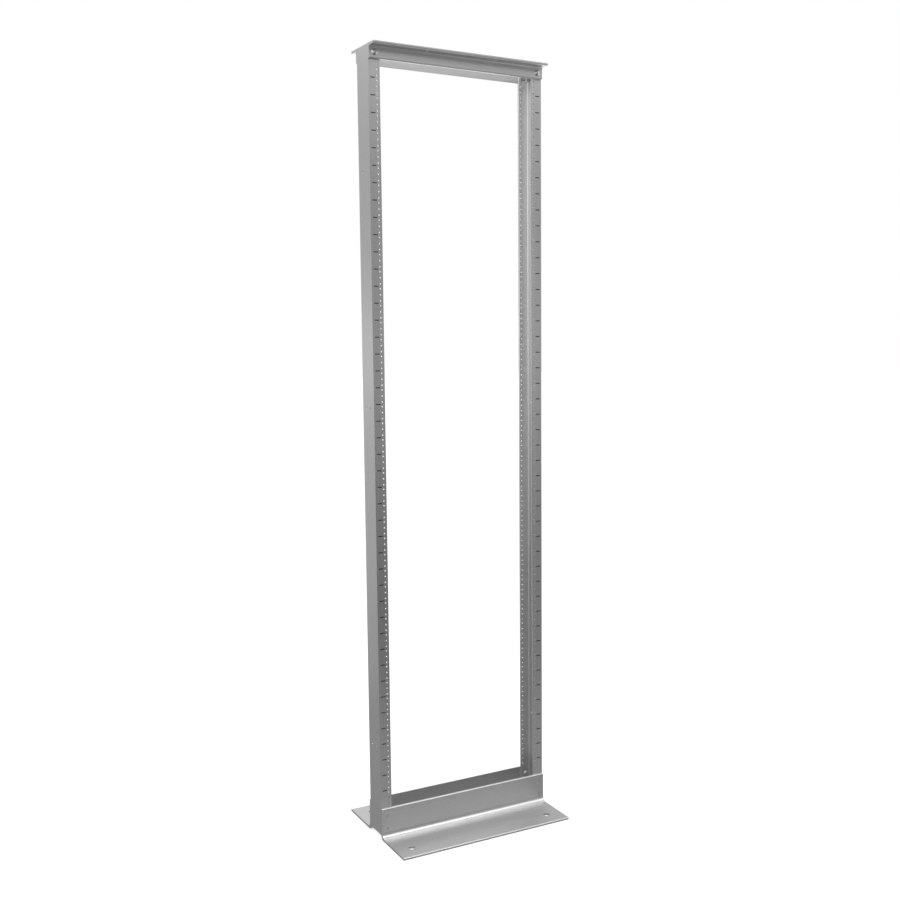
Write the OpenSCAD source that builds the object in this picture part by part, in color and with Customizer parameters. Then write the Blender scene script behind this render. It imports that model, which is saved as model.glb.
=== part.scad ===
// Two post open frame rack, in millimetres.
// Two channel uprights, drilled at the 19-inch equipment spacing, are held apart
// by a pair of angles at the top and stand between a pair of angles at the base.
// The origin is on the floor under the middle of the rack. +Z is up, +X is to the
// right as seen from the front, and the front faces -Y.

/* [Overall] */
// Width over the outer faces of the uprights
rack_width = 514.35; // [300:0.05:700]
// Height from the floor to the top of the rack, which sets how many rack units fit
rack_height = 2133.6; // [600:0.1:2400]

/* [Rack units] */
// Height of one rack unit
rack_unit = 44.45; // [40:0.05:50]
// Height above the floor of the bottom of the first rack unit
first_unit_height = 93.66; // [92:0.01:140]
// Distance from the outer face of an upright to its row of equipment holes
equipment_hole_inset = 24.625; // [22:0.005:27]
// Distance from the edges of a rack unit to its outer holes
outer_hole_inset = 6.35; // [5:0.05:8]
// Diameter of the equipment holes, drilled for their threads
equipment_hole_diameter = 4.5; // [4:0.1:7]

/* [Uprights] */
// Depth of the channel, front face to rear face
channel_depth = 76.2; // [70:0.1:120]
// Width of the channel flanges, measured from the outer face of the web
flange_width = 31.75; // [31:0.05:34]
// Thickness of the channel flanges
flange_thickness = 4.76; // [3:0.01:6]
// Thickness of the channel web
web_thickness = 3.18; // [2:0.01:4]
// Radius of the fillets inside the channel
channel_fillet = 3.18; // [1:0.01:4]
// Radius of the rounded inner edges at the tips of the flanges
flange_toe_radius = 2.4; // [0.5:0.1:2.9]

/* [Side holes] */
// Height above the floor of the lowest pair of holes in the webs
side_hole_bottom = 260.35; // [120:0.05:400]
// Distance from the top of the rack to the highest pair
side_hole_top_drop = 317.5; // [60:0.1:500]
// Place of the middle pair, as a share of the way from the lowest pair to the highest
side_hole_middle = 0.6; // [0.2:0.05:0.8]
// Distance between the two holes of a pair
side_hole_spacing = 31.75; // [20:0.05:40]
// Diameter of the side holes
side_hole_diameter = 7.2; // [5:0.1:10]

/* [Top angles] */
// Width of both legs of the top angles
top_leg = 38.1; // [36:0.1:40]
// Thickness of the top angles
top_thickness = 6.35; // [3.5:0.05:6.9]
// Radius of the fillet inside the top angles
top_fillet = 6.35; // [2:0.05:7.3]
// Radius of the rounded edges of both legs of the top angles
top_toe_radius = 3.2; // [1:0.1:3.4]
// Distance between the two holes in the top of each angle
top_hole_spacing = 203.2; // [100:0.1:300]
// Diameter of the holes in the top of each angle
top_hole_diameter = 8.7; // [5:0.1:12]

/* [Base angles] */
// Length of the base leg that lies on the floor
base_foot = 152.4; // [120:0.1:250]
// Height of the base leg that stands against the uprights
base_leg = 88.9; // [80:0.1:90]
// Thickness of the base angles
base_thickness = 6.35; // [5:0.05:8]
// Radius of the fillet inside the base angles
base_fillet = 15.9; // [6:0.1:18]
// Radius of the rounded heel under the uprights
heel_radius = 12.7; // [3:0.1:14]
// Radius of the rounded edges of both legs of the base angles
toe_radius = 3.2; // [1:0.1:4.8]
// Distance from the ends of a base angle to its floor anchor holes
anchor_end_inset = 45.2; // [30:0.1:80]
// Distance from the toe of a base angle to its floor anchor holes
anchor_toe_inset = 49.2; // [30:0.1:70]
// Diameter of the floor anchor holes
anchor_diameter = 19; // [10:0.1:24]

/* [Fasteners] */
// Distance from the outer face of an upright to its bolts
bolt_inset = 15.88; // [15:0.01:17]
// Distance from the top of the rack to the top bolts
top_bolt_drop = 22.2; // [21.4:0.1:25]
// Heights above the floor of the base bolts
base_bolt_heights = [30.2, 68.3];
// Diameter of the bolt shanks
bolt_diameter = 7.94; // [6:0.01:8.5]
// Gap all round between a bolt and the hole it passes through
bolt_clearance = 0.25; // [0.15:0.01:0.5]
// Gap all round between a bolt and the thread it is screwed into
thread_clearance = 0.1; // [0.05:0.01:0.2]
// Diameter of the domed heads of the top bolts
dome_head_diameter = 17; // [14:0.1:18.6]
// Height of the domed heads of the top bolts
dome_head_height = 3.2; // [2:0.1:6]
// Width of the nuts across their flats
nut_width = 12.7; // [11:0.1:13]
// Height of the nuts
nut_height = 6.75; // [4:0.05:8]
// Length of bolt that stands out of a nut
bolt_projection = 1.6; // [0.5:0.1:5]
// Diameter of the button heads of the base bolts
button_head_diameter = 14; // [12:0.1:15]
// Height of the button heads of the base bolts
button_head_height = 4.2; // [2:0.1:6]
// Width of the hexagon socket across its flats
socket_width = 4.76; // [3:0.01:6]
// Depth of the hexagon socket
socket_depth = 2.4; // [1:0.1:3]
// Depth of the base bolt ends below the face of the base angles
bolt_end_recess = 4; // [0.5:0.1:5.5]

/* [Display] */
// Part to draw

/* [Hidden] */

face_y = channel_depth / 2;
flange_inner_y = face_y - flange_thickness;
side_x = rack_width / 2;
hole_x = side_x - equipment_hole_inset;
bolt_x = side_x - bolt_inset;
upright_bottom = heel_radius;
top_bolt_z = rack_height - top_bolt_drop;
passing_hole_diameter = bolt_diameter + 2 * bolt_clearance;
threaded_hole_diameter = bolt_diameter + 2 * thread_clearance;
top_hole_y = face_y + (top_leg + top_thickness) / 2;
anchor_x = side_x - anchor_end_inset;
anchor_y = face_y + base_foot - anchor_toe_inset;
// As many rack units as fit between the first one and the legs of the top angles
rack_units = floor((rack_height - top_leg - first_unit_height) / rack_unit);
// Each rack unit has three holes: one near each edge and one in the middle
unit_hole_offsets = [outer_hole_inset, rack_unit / 2, rack_unit - outer_hole_inset];
side_hole_rise = rack_height - side_hole_top_drop - side_hole_bottom;
// How far a drill runs past each face
cut = 1;
// Signs of the rack's sides along Y and X, and places in base_bolt_heights
front = -1;
rear = 1;
left = -1;
right = 1;
lower = 0;
upper = 1;
$fn = 48;

aluminium = [0.78, 0.79, 0.80];
steel = [0.70, 0.71, 0.72];

// ---- Profiles ----

// The corner left between two straight sides by a round of this radius
module corner(radius) {
    difference() {
        square(radius);
        translate([radius, radius]) circle(radius);
    }
}

// What a round takes off the outermost edge of a leg
module toe(radius) {
    rotate(180) corner(radius);
}

// Section of an upright: web on the left, flanges to the right, open inwards
module channel_profile() {
    difference() {
        translate([0, -face_y]) square([flange_width, channel_depth]);
        difference() {
            translate([web_thickness, -flange_inner_y]) square([flange_width, 2 * flange_inner_y]);
            for (side = [0, 1])
                mirror([0, side])
                    translate([web_thickness, -flange_inner_y]) corner(channel_fillet);
        }
        for (side = [0, 1])
            mirror([0, side])
                translate([flange_width, -flange_inner_y]) toe(flange_toe_radius);
    }
}

// Section of a base angle: X runs out along the floor and Y runs up the upright
module base_profile() {
    difference() {
        union() {
            square([base_foot, base_thickness]);
            square([base_thickness, base_leg]);
            translate([base_thickness, base_thickness]) corner(base_fillet);
        }
        corner(heel_radius);
        translate([base_foot, base_thickness]) toe(toe_radius);
        translate([base_thickness, base_leg]) toe(toe_radius);
    }
}

// Section of a top angle: X runs out from the upright and Y runs down it
module top_profile() {
    difference() {
        union() {
            square([top_leg, top_thickness]);
            square([top_thickness, top_leg]);
            translate([top_thickness, top_thickness]) corner(top_fillet);
        }
        translate([top_leg, top_thickness]) toe(top_toe_radius);
        translate([top_thickness, top_leg]) toe(top_toe_radius);
    }
}

// ---- Metalwork ----

// An upright standing at the left
module upright() {
    color(aluminium)
        difference() {
            translate([-side_x, 0, upright_bottom])
                linear_extrude(rack_height - upright_bottom) channel_profile();
            equipment_holes();
            side_holes();
            for (z = concat(base_bolt_heights, top_bolt_z))
                translate([-bolt_x, 0, z]) hole_along_y(passing_hole_diameter);
        }
}

// A drill long enough to pass through both flanges of an upright
module hole_along_y(diameter) {
    rotate([90, 0, 0]) cylinder(d = diameter, h = channel_depth + 2 * cut, center = true);
}

module equipment_holes() {
    for (unit = [0 : rack_units - 1])
        for (offset_z = unit_hole_offsets)
            translate([-hole_x, 0, first_unit_height + unit * rack_unit + offset_z])
                hole_along_y(equipment_hole_diameter);
}

module side_holes() {
    for (share = [0, side_hole_middle, 1])
        for (side = [front, rear])
            translate([
                -side_x - cut,
                side * side_hole_spacing / 2,
                side_hole_bottom + share * side_hole_rise
            ])
                rotate([0, 90, 0]) cylinder(d = side_hole_diameter, h = web_thickness + 2 * cut);
}

// An angle profile laid across the rack against the front or rear of the uprights
module laid_across(side) {
    mirror([0, side == front ? 1 : 0, 0])
        translate([-side_x, face_y, 0])
            rotate([90, 0, 90]) linear_extrude(rack_width) children();
}

// A drill through one leg of an angle on the front or rear of the uprights
module leg_hole(side, end, z, diameter, thickness) {
    translate([end * bolt_x, side * (face_y + thickness / 2), z])
        rotate([90, 0, 0]) cylinder(d = diameter, h = thickness + 2 * cut, center = true);
}

module top_angle(side) {
    color(aluminium)
        difference() {
            translate([0, 0, rack_height]) laid_across(side) mirror([0, 1]) top_profile();
            for (end = [left, right]) {
                leg_hole(side, end, top_bolt_z, passing_hole_diameter, top_thickness);
                translate([end * top_hole_spacing / 2, side * top_hole_y, rack_height])
                    cylinder(d = top_hole_diameter, h = 2 * (top_thickness + cut), center = true);
            }
        }
}

module base_angle(side) {
    color(aluminium)
        difference() {
            laid_across(side) base_profile();
            for (end = [left, right]) {
                for (z = base_bolt_heights)
                    leg_hole(side, end, z, threaded_hole_diameter, base_thickness);
                translate([end * anchor_x, side * anchor_y, -cut])
                    cylinder(d = anchor_diameter, h = base_thickness + 2 * cut);
            }
        }
}

// ---- Fasteners ----

// A round head whose flat side is at the origin and whose dome points along +Z
module domed_head(diameter, height) {
    radius = (diameter * diameter / 4 + height * height) / (2 * height);
    intersection() {
        translate([0, 0, height - radius]) sphere(radius);
        cylinder(d = diameter, h = height);
    }
}

// Domed bolt through a top angle and a flange, with its head on the angle
module top_bolt(side, end) {
    grip = top_thickness + flange_thickness;
    color(steel)
        translate([end * bolt_x, side * (face_y + top_thickness), top_bolt_z])
            rotate([side * -90, 0, 0]) {
                domed_head(dome_head_diameter, dome_head_height);
                mirror([0, 0, 1]) cylinder(d = bolt_diameter, h = grip + nut_height + bolt_projection);
            }
}

// Hexagon nut of a top bolt, seated on the inside of the flange
module top_nut(side, end) {
    color(steel)
        translate([end * bolt_x, side * flange_inner_y, top_bolt_z])
            rotate([side * 90, 0, 0])
                difference() {
                    cylinder(d = nut_width / cos(30), h = nut_height, $fn = 6);
                    translate([0, 0, -cut]) cylinder(d = threaded_hole_diameter, h = nut_height + 2 * cut);
                }
}

// Button head bolt from the inside of a flange into the threaded base angle
module base_bolt(side, end, level) {
    color(steel)
        translate([end * bolt_x, side * flange_inner_y, base_bolt_heights[level]])
            rotate([side * 90, 0, 0])
                difference() {
                    union() {
                        domed_head(button_head_diameter, button_head_height);
                        mirror([0, 0, 1])
                            cylinder(d = bolt_diameter, h = flange_thickness + base_thickness - bolt_end_recess);
                    }
                    translate([0, 0, button_head_height - socket_depth])
                        cylinder(d = socket_width / cos(30), h = socket_depth + cut, $fn = 6);
                }
}

// ---- Nodes ----

module left_upright() upright();
module right_upright() mirror([1, 0, 0]) upright();
module front_top_angle() top_angle(front);
module rear_top_angle() top_angle(rear);
module front_base_angle() base_angle(front);
module rear_base_angle() base_angle(rear);
module top_bolt_front_left() top_bolt(front, left);
module top_bolt_front_right() top_bolt(front, right);
module top_bolt_rear_left() top_bolt(rear, left);
module top_bolt_rear_right() top_bolt(rear, right);
module top_nut_front_left() top_nut(front, left);
module top_nut_front_right() top_nut(front, right);
module top_nut_rear_left() top_nut(rear, left);
module top_nut_rear_right() top_nut(rear, right);
module base_bolt_front_left_lower() base_bolt(front, left, lower);
module base_bolt_front_left_upper() base_bolt(front, left, upper);
module base_bolt_front_right_lower() base_bolt(front, right, lower);
module base_bolt_front_right_upper() base_bolt(front, right, upper);
module base_bolt_rear_left_lower() base_bolt(rear, left, lower);
module base_bolt_rear_left_upper() base_bolt(rear, left, upper);
module base_bolt_rear_right_lower() base_bolt(rear, right, lower);
module base_bolt_rear_right_upper() base_bolt(rear, right, upper);

left_upright();
right_upright();
front_top_angle();
rear_top_angle();
front_base_angle();
rear_base_angle();
top_bolt_front_left();
top_bolt_front_right();
top_bolt_rear_left();
top_bolt_rear_right();
top_nut_front_left();
top_nut_front_right();
top_nut_rear_left();
top_nut_rear_right();
base_bolt_front_left_lower();
base_bolt_front_left_upper();
base_bolt_front_right_lower();
base_bolt_front_right_upper();
base_bolt_rear_left_lower();
base_bolt_rear_left_upper();
base_bolt_rear_right_lower();
base_bolt_rear_right_upper();
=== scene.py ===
import math

import bpy
import numpy as np
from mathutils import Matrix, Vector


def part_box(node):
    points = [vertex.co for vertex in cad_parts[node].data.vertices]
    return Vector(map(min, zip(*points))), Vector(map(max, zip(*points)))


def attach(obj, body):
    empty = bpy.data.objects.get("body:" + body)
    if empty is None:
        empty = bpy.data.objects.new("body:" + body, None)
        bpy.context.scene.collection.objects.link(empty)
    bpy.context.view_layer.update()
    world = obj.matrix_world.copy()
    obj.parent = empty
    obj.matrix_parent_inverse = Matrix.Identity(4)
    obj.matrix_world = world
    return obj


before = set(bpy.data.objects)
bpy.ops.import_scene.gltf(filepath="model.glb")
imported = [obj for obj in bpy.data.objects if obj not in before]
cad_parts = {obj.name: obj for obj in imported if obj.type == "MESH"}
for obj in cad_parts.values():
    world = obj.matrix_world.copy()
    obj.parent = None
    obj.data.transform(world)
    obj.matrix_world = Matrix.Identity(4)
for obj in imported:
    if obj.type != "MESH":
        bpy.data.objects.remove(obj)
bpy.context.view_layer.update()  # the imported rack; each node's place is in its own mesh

scene = bpy.context.scene


def linear(hexColour):  # "#rrggbb" in sRGB to a linear colour
    parts = [int(hexColour[i:i + 2], 16) / 255 for i in (1, 3, 5)]
    return tuple(c / 12.92 if c <= 0.04045 else ((c + 0.055) / 1.055) ** 2.4 for c in parts) + (1.0,)


def addNode(tree, kind, settings=None, **links):  # one node, its settings and what feeds its sockets
    node = tree.nodes.new(kind)
    for name, value in (settings or {}).items():
        if isinstance(name, int) or name in node.inputs:
            node.inputs[name].default_value = value
        else:
            setattr(node, name, value)
    for name, source in links.items():
        key = int(name[1:]) if name[0] == "i" and name[1:].isdigit() else name.replace("_", " ")
        tree.links.new(source, node.inputs[key])
    return node


def newMaterial(name):
    material = bpy.data.materials.new(name)
    material.use_nodes = True
    material.node_tree.nodes.clear()
    return material, material.node_tree


def newPiece(name, points, faces, material, smooth=True, stage=False):
    mesh = bpy.data.meshes.new(name)
    mesh.from_pydata(points.reshape(-1, 3).tolist(), [], [list(face) for face in faces])
    mesh.polygons.foreach_set("use_smooth", [smooth] * len(mesh.polygons))
    mesh.materials.append(material)
    mesh.update()
    piece = bpy.data.objects.new(name, mesh)
    scene.collection.objects.link(piece)
    if stage:
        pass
    else:
        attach(piece, "root")
    return piece


def ringFaces(rings, around):  # quads between each ring of points and the next, closed round the ring
    row = np.arange(rings - 1)[:, None] * around
    step = np.arange(around)[None, :]
    nextStep = (step + 1) % around
    quads = np.stack([row + step, row + nextStep, row + around + nextStep, row + around + step], -1)
    return quads.reshape(-1, 4).tolist()


camera = {
    "position": (-1.4439, -2.94657, 1.40404),  # metres, from the middle of the floor under the rack
    "yawDeg": 31.139,  # turned to the right of straight ahead
    "pitchDeg": -6.372,
    "sensorMm": 36,
    "lensMm": 46.848,
    "shift": (-0.12011, 0.01096),
    "seesTo": 100,
}


def makeCamera():
    data = bpy.data.cameras.new("camera")
    data.sensor_width = camera["sensorMm"]
    data.lens = camera["lensMm"]
    data.shift_x, data.shift_y = camera["shift"]
    data.clip_end = camera["seesTo"]
    view = bpy.data.objects.new("camera", data)
    view.location = camera["position"]
    view.rotation_euler = (math.radians(90 + camera["pitchDeg"]), 0, math.radians(-camera["yawDeg"]))
    scene.collection.objects.link(view)
    scene.camera = view


# the room round the rack: directions in degrees from straight ahead of the rack, turning to its right
studio = {
    "directions": (0, 35, 70, 140, 180, 210, 270, 330),
    "wallGreys": (0.05, 0.20, 1.3, 0.15, 0.95, 0.26, 1.3, 1.3),
    "floorGreys": (0.10, 0.15, 0.6, 1.3, 1.3, 0.23, 0.60, 0.05),
    "nearFloorGrey": 0.30,
    "nearFloorRadius": 1.2,
    "wallRadius": 6.0,
    "wallHeight": 9.0,
    "wallRings": 61,
    "around": 144,
    "floorHeight": 0.0006,  # the room's floor lies just over the white one
    "greyFrom": 1.2,  # the floor's grey has turned into the wall's at this height
    "paleBand": {"height": 1.2, "halfHeight": 0.3, "share": 0.5, "brightest": 1.3},
    "whiteFrom": 2.9,  # the wall's grey turns into white between these heights
    "whiteTo": 5.6,
    "whiteLevel": 1.35,
    "ceilingLevel": 0.5,
    "worldLevel": 0.75,
    "keyPower": 25,
    "keyPosition": (1.2, -2.0, 4.6),
    "keySize": (2.4, 1.0),
    "keyAim": (0, 0, 0.9),
}

whiteFloor = {
    "colour": "#f2f2f2",
    "lift": 0.5,
    "halfSize": 30.0,
}


def whiteForEye(tree):  # 1 where the camera, a reflection or a see-through ray looks
    path = addNode(tree, "ShaderNodeLightPath")
    seen = addNode(tree, "ShaderNodeMath", {"operation": "MAXIMUM"},
                   i0=path.outputs["Is Camera Ray"], i1=path.outputs["Is Glossy Ray"])
    return addNode(tree, "ShaderNodeMath", {"operation": "MAXIMUM"},
                   i0=seen.outputs[0], i1=path.outputs["Is Transmission Ray"]).outputs[0]


def makeWorld():
    world = bpy.data.worlds.new("studioWorld")
    scene.world = world
    world.use_nodes = True
    tree = world.node_tree
    tree.nodes.clear()
    soft = addNode(tree, "ShaderNodeBackground", {"Color": (1, 1, 1, 1), "Strength": studio["worldLevel"]})
    white = addNode(tree, "ShaderNodeBackground", {"Color": (1, 1, 1, 1), "Strength": 1.0})
    mixed = addNode(tree, "ShaderNodeMixShader", None,
                    i0=whiteForEye(tree), i1=soft.outputs[0], i2=white.outputs[0])
    addNode(tree, "ShaderNodeOutputWorld", None, Surface=mixed.outputs[0])


def makeFloor():  # matt white floor that shows white and keeps the soft shadow of the rack
    material, tree = newMaterial("mattWhiteFloor")
    matt = addNode(tree, "ShaderNodeBsdfDiffuse", {"Color": linear(whiteFloor["colour"])})
    lift = addNode(tree, "ShaderNodeEmission", {"Color": (1, 1, 1, 1), "Strength": whiteFloor["lift"]})
    both = addNode(tree, "ShaderNodeAddShader", None, i0=matt.outputs[0], i1=lift.outputs[0])
    mixed = addNode(tree, "ShaderNodeMixShader", None,
                    i0=whiteForEye(tree), i1=matt.outputs[0], i2=both.outputs[0])
    addNode(tree, "ShaderNodeOutputMaterial", None, Surface=mixed.outputs[0])
    size = whiteFloor["halfSize"]
    corners = np.array([[-size, -size, 0], [size, -size, 0], [size, size, 0], [-size, size, 0]], float)
    newPiece("floor", corners, [[0, 1, 2, 3]], material, stage=True)


def smoothRise(value, start, end):  # 0 below start, 1 above end, 3t^2 - 2t^3 between
    t = np.clip((value - start) / (end - start), 0, 1)
    return t * t * (3 - 2 * t)


def makeStudioRoom():
    # grey room that only the metal sees, as a studio's flags and white cards shape the shine of metal:
    # a profile of radius and height carried round the rack, with a brightness at every point
    material, tree = newMaterial("greyStudioRoom")
    glow = addNode(tree, "ShaderNodeAttribute", {"attribute_name": "glow"})
    emission = addNode(tree, "ShaderNodeEmission", {"Color": (1, 1, 1, 1)}, Strength=glow.outputs["Fac"])
    addNode(tree, "ShaderNodeOutputMaterial", None, Surface=emission.outputs[0])
    around, wallRings = studio["around"], studio["wallRings"]
    radius, height = studio["wallRadius"], studio["wallHeight"]
    near, low = studio["nearFloorRadius"], studio["floorHeight"]
    centre, step = 0.001, 0.01  # the radius of the middle, and the width of a sharp change of brightness
    profile = np.concatenate([
        [[centre, low], [near - step, low], [near + step, low]],
        np.stack([np.full(wallRings, radius), np.linspace(low, height, wallRings)], -1),
        [[radius - step, height], [centre, height]],
    ])
    turn = np.linspace(0, 2 * np.pi, around, endpoint=False)
    rings = np.stack([profile[:, :1] * np.sin(turn), -profile[:, :1] * np.cos(turn),
                      np.repeat(profile[:, 1:], around, 1)], -1)
    degrees = np.degrees(turn)
    wallGrey = np.interp(degrees, studio["directions"], studio["wallGreys"], period=360)
    floorGrey = np.interp(degrees, studio["directions"], studio["floorGreys"], period=360)
    z = profile[:, 1:]
    grey = floorGrey + (wallGrey - floorGrey) * smoothRise(z, 0, studio["greyFrom"])
    band = studio["paleBand"]
    lift = band["share"] * np.exp(-((z - band["height"]) / band["halfHeight"]) ** 2)
    grey = grey + lift * np.clip(band["brightest"] - grey, 0, None)
    level = grey + (studio["whiteLevel"] - grey) * smoothRise(z, studio["whiteFrom"], studio["whiteTo"])
    level[:2] = studio["nearFloorGrey"]
    level[-2:] = studio["ceilingLevel"]
    room = newPiece("studioRoom", rings, ringFaces(len(profile), around), material, stage=True)
    room.data.attributes.new("glow", "FLOAT", "POINT").data.foreach_set("value", level.ravel())
    room.visible_camera = False
    room.visible_diffuse = False
    room.visible_shadow = False
    room.visible_transmission = False


def makeKeyLamp():
    data = bpy.data.lights.new("keyLamp", "AREA")
    data.shape = "RECTANGLE"
    data.size, data.size_y = studio["keySize"]
    data.energy = studio["keyPower"]
    lamp = bpy.data.objects.new("keyLamp", data)
    lamp.location = studio["keyPosition"]
    towards = np.array(studio["keyAim"]) - np.array(studio["keyPosition"])
    tip = math.acos(-towards[2] / np.linalg.norm(towards))  # from straight down
    lamp.rotation_euler = (tip, 0, math.atan2(towards[0], -towards[1]) + math.pi)
    scene.collection.objects.link(lamp)


aluminium = {
    "colour": "#dddddd",
    "roughness": 0.34,
    "roughnessSpread": 0.03,
    "streakMm": 1.2,  # width of the die lines, drawn wider than real so that they show
    "streakLengthMm": 650,
    "grainMm": 2.5,  # drawn coarser than real so that it shows
    "pattern": (0.6, 1.4),  # the values of lines and grain together that give the ends of each spread
    "tone": (0.91, 1.07),  # darkest and lightest, as shares of the colour
    "bump": {"Strength": 0.15, "Distance": 0.0002},
}

# the equipment holes are tapped: the thread runs along each hole, and shows only on its wall
thread = {
    "rowSpacing": 0.4651,  # metres between the two rows of holes
    "reach": 0.0024,  # a little over the radius of a hole
    "pitch": 0.00106,  # 24 to the inch
    "bump": {"Strength": 1.0, "Distance": 0.0003},
}


def mottledColour(tree, metal, pattern):
    # colour = the metal's colour times a grey, which goes from darkest to lightest with the pattern
    (lowest, highest), (darkest, lightest) = metal["pattern"], metal["tone"]
    tone = addNode(tree, "ShaderNodeMapRange", {"From Min": lowest, "From Max": highest,
                   "To Min": darkest, "To Max": lightest}, Value=pattern)
    grey = addNode(tree, "ShaderNodeCombineColor", None,
                   i0=tone.outputs[0], i1=tone.outputs[0], i2=tone.outputs[0])
    return addNode(tree, "ShaderNodeMix", {"data_type": "RGBA", "blend_type": "MULTIPLY", 0: 1.0,
                   6: linear(metal["colour"])}, i7=grey.outputs[0]).outputs[2]


def threadBump(tree, place, under):
    # height = sin(2 pi y / pitch) where |x| lies within reach of a row of holes, else 0
    axes = addNode(tree, "ShaderNodeSeparateXYZ", None, i0=place)
    fromMiddle = addNode(tree, "ShaderNodeMath", {"operation": "ABSOLUTE"}, i0=axes.outputs[0])
    pastRow = addNode(tree, "ShaderNodeMath", {"operation": "SUBTRACT", 1: thread["rowSpacing"] / 2},
                      i0=fromMiddle.outputs[0])
    fromRow = addNode(tree, "ShaderNodeMath", {"operation": "ABSOLUTE"}, i0=pastRow.outputs[0])
    nearRow = addNode(tree, "ShaderNodeMath", {"operation": "LESS_THAN", 1: thread["reach"]},
                      i0=fromRow.outputs[0])
    turns = addNode(tree, "ShaderNodeMath", {"operation": "MULTIPLY", 1: 2 * math.pi / thread["pitch"]},
                    i0=axes.outputs[1])
    wave = addNode(tree, "ShaderNodeMath", {"operation": "SINE"}, i0=turns.outputs[0])
    height = addNode(tree, "ShaderNodeMath", {"operation": "MULTIPLY"},
                     i0=wave.outputs[0], i1=nearRow.outputs[0])
    return addNode(tree, "ShaderNodeBump", thread["bump"], Height=height.outputs[0], Normal=under)


def millAluminium(name, grainAxis, threaded=False):
    # mill-finish aluminium extrusion: the die leaves faint lines along the length, and the oxide skin
    # softens what it reflects
    material, tree = newMaterial(name)
    place = addNode(tree, "ShaderNodeTexCoord")
    along = [1000 / aluminium["streakMm"]] * 3
    along["xyz".index(grainAxis)] = 1000 / aluminium["streakLengthMm"]
    streakPlace = addNode(tree, "ShaderNodeMapping", {"Scale": along}, i0=place.outputs["Object"])
    streak = addNode(tree, "ShaderNodeTexNoise", {"Scale": 1.0, "Detail": 2.0, "Roughness": 0.6},
                     Vector=streakPlace.outputs[0])
    grain = addNode(tree, "ShaderNodeTexNoise",
                    {"Scale": 1000 / aluminium["grainMm"], "Detail": 3.0, "Roughness": 0.7},
                    Vector=place.outputs["Object"])
    both = addNode(tree, "ShaderNodeMath", {"operation": "ADD"}, i0=streak.outputs[0], i1=grain.outputs[0])
    roughness, spread = aluminium["roughness"], aluminium["roughnessSpread"]
    lowest, highest = aluminium["pattern"]
    rough = addNode(tree, "ShaderNodeMapRange", {"From Min": lowest, "From Max": highest,
                    "To Min": roughness - spread, "To Max": roughness + spread}, Value=both.outputs[0])
    bump = addNode(tree, "ShaderNodeBump", aluminium["bump"], Height=both.outputs[0])
    if threaded:
        bump = threadBump(tree, place.outputs["Object"], bump.outputs[0])
    metal = addNode(tree, "ShaderNodeBsdfPrincipled", {"Metallic": 1.0},
                    Base_Color=mottledColour(tree, aluminium, both.outputs[0]),
                    Roughness=rough.outputs[0], Normal=bump.outputs[0])
    addNode(tree, "ShaderNodeOutputMaterial", None, Surface=metal.outputs[0])
    return material


zinc = {
    "colour": "#cdced0",
    "roughness": 0.38,
    "grainMm": 0.8,
    "pattern": (0.3, 0.7),
    "tone": (0.86, 1.05),
    "bump": {"Strength": 0.2, "Distance": 0.0001},
}


def zincSteel():
    # zinc-plated steel bolts: a pale skin of fine crystals, a little mottled
    material, tree = newMaterial("zincPlatedSteel")
    place = addNode(tree, "ShaderNodeTexCoord")
    grain = addNode(tree, "ShaderNodeTexNoise", {"Scale": 1000 / zinc["grainMm"], "Detail": 2.0},
                    Vector=place.outputs["Object"])
    bump = addNode(tree, "ShaderNodeBump", zinc["bump"], Height=grain.outputs[0])
    metal = addNode(tree, "ShaderNodeBsdfPrincipled", {"Metallic": 1.0, "Roughness": zinc["roughness"]},
                    Base_Color=mottledColour(tree, zinc, grain.outputs[0]), Normal=bump.outputs[0])
    addNode(tree, "ShaderNodeOutputMaterial", None, Surface=metal.outputs[0])
    return material


ink = {
    "colour": "#17171a",
    "roughness": 0.6,
}


def markInk():
    # black printing ink on the metal: matt and thin
    material, tree = newMaterial("blackPrintInk")
    matt = addNode(tree, "ShaderNodeBsdfPrincipled",
                   {"Base Color": linear(ink["colour"]), "Roughness": ink["roughness"]})
    addNode(tree, "ShaderNodeOutputMaterial", None, Surface=matt.outputs[0])
    return material


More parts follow.
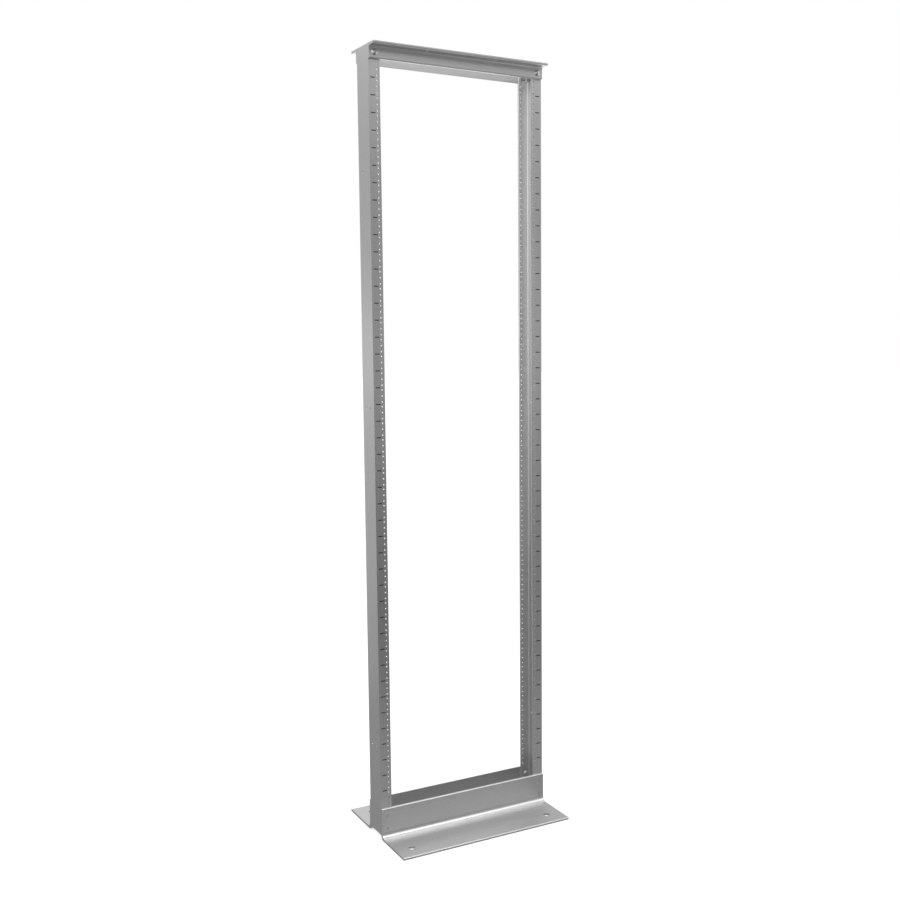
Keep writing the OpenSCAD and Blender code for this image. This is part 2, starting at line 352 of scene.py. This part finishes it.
unitMarks = {
    "rackUnit": 0.04445,
    "firstUnit": 0.09366,  # floor to the bottom of the first rack unit
    "units": 45,
    "inset": 0.00535,  # from the outer face of the upright to the mark
    "length": 0.01354,
    "height": 0.00254,
    "skin": 0.00005,  # how far a mark goes into the metal, and how far it stands out
    "endPoints": 5,
}


def makeUnitMarks(material):
    # a flat bar with half-round ends, repeated at each joint between rack units
    low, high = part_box("left_upright")
    halfDepth = high[1]
    halfHeight = unitMarks["height"] / 2
    arc = np.linspace(-np.pi / 2, np.pi / 2, unitMarks["endPoints"])
    reach = unitMarks["length"] / 2 - halfHeight
    right = np.stack([reach + halfHeight * np.cos(arc), halfHeight * np.sin(arc)], -1)
    outline = np.concatenate([right, -right])
    count = len(outline)
    heights = unitMarks["firstUnit"] + unitMarks["rackUnit"] * np.arange(1, unitMarks["units"])
    for sideName, side in (("Left", -1), ("Right", 1)):
        for faceName, face in (("front", -1), ("rear", 1)):
            middle = side * (abs(low[0]) - unitMarks["inset"] - unitMarks["length"] / 2)
            points = np.zeros((len(heights), 2, count, 3))
            points[..., 0] = middle + outline[:, 0] * -face
            points[..., 2] = heights[:, None, None] + outline[:, 1]
            points[:, 0, :, 1] = face * (halfDepth - unitMarks["skin"])
            points[:, 1, :, 1] = face * (halfDepth + unitMarks["skin"])
            step = np.arange(count)
            start = 2 * count * np.arange(len(heights))[:, None]
            caps = np.concatenate([start + step[::-1], start + count + step])
            nextStep = (step + 1) % count
            rims = start[..., None] + np.stack([step, nextStep, count + nextStep, count + step], -1)
            faces = caps.tolist() + rims.reshape(-1, 4).tolist()
            newPiece(faceName + sideName + "UnitMarks", points, faces, material, smooth=False)


print("camera and studio")
makeCamera()
makeWorld()
makeFloor()
makeStudioRoom()
makeKeyLamp()

print("metal")
uprightMetal = millAluminium("millAluminiumUprights", "z", threaded=True)
angleMetal = millAluminium("millAluminiumAngles", "x")
boltMetal = zincSteel()
for nodeName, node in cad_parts.items():
    if "upright" in nodeName:
        metal = uprightMetal
    elif "angle" in nodeName:
        metal = angleMetal
    else:
        metal = boltMetal
    node.data.materials.clear()
    node.data.materials.append(metal)

print("rack-unit marks")
makeUnitMarks(markInk())

scene.view_settings.view_transform = "Standard"
